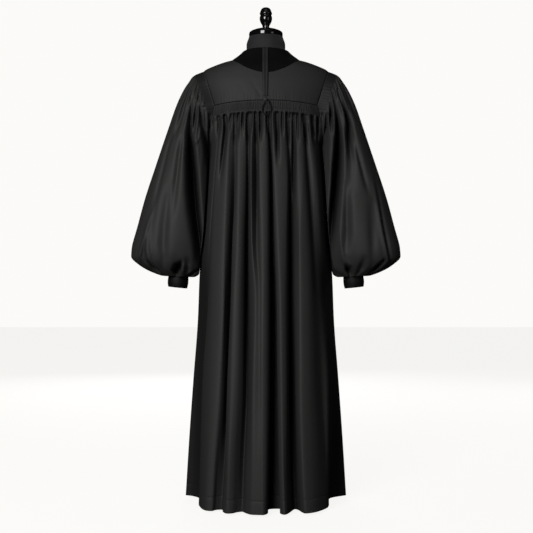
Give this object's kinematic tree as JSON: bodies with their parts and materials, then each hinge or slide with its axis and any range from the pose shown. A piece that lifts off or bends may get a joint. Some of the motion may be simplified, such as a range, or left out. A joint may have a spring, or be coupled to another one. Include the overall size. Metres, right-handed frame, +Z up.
{
  "type": "geneva gown on dress form",
  "caption": "Black full-length geneva gown with yoke, gathered back, bell sleeves, velvet collar, back strap and loop, hung on a limbless dress form with finial, pole and round base.",
  "frame": {"origin": "centre of the stand base's underside, on the floor", "axes": "+Z up; the back of the gown faces -Y and the front +Y; +X is the wearer's right"},
  "size_m": [0.8362, 0.4902, 1.5205],
  "materials": {
    "gown_cloth": "matt black twill",
    "velvet": "black velvet pile",
    "cord": "black twisted cord",
    "form_fabric": "dark grey jersey",
    "gloss_black": "gloss black",
    "stand_paint": "satin black"
  },
  "bodies": {
    "root": {"collar": "velvet", "yoke": "gown_cloth", "back_panel": "gown_cloth", "front_left": "gown_cloth", "front_right": "gown_cloth", "sleeve_left": "gown_cloth", "sleeve_right": "gown_cloth", "cuff_left": "gown_cloth", "cuff_right": "gown_cloth", "back_strap": "gown_cloth", "button": "gown_cloth", "cord_loop": "cord", "form_torso": "form_fabric", "form_neck_cap": "gloss_black", "form_finial": "gloss_black", "stand_pole": "stand_paint", "stand_base": "stand_paint"}
  },
  "joints": []
}
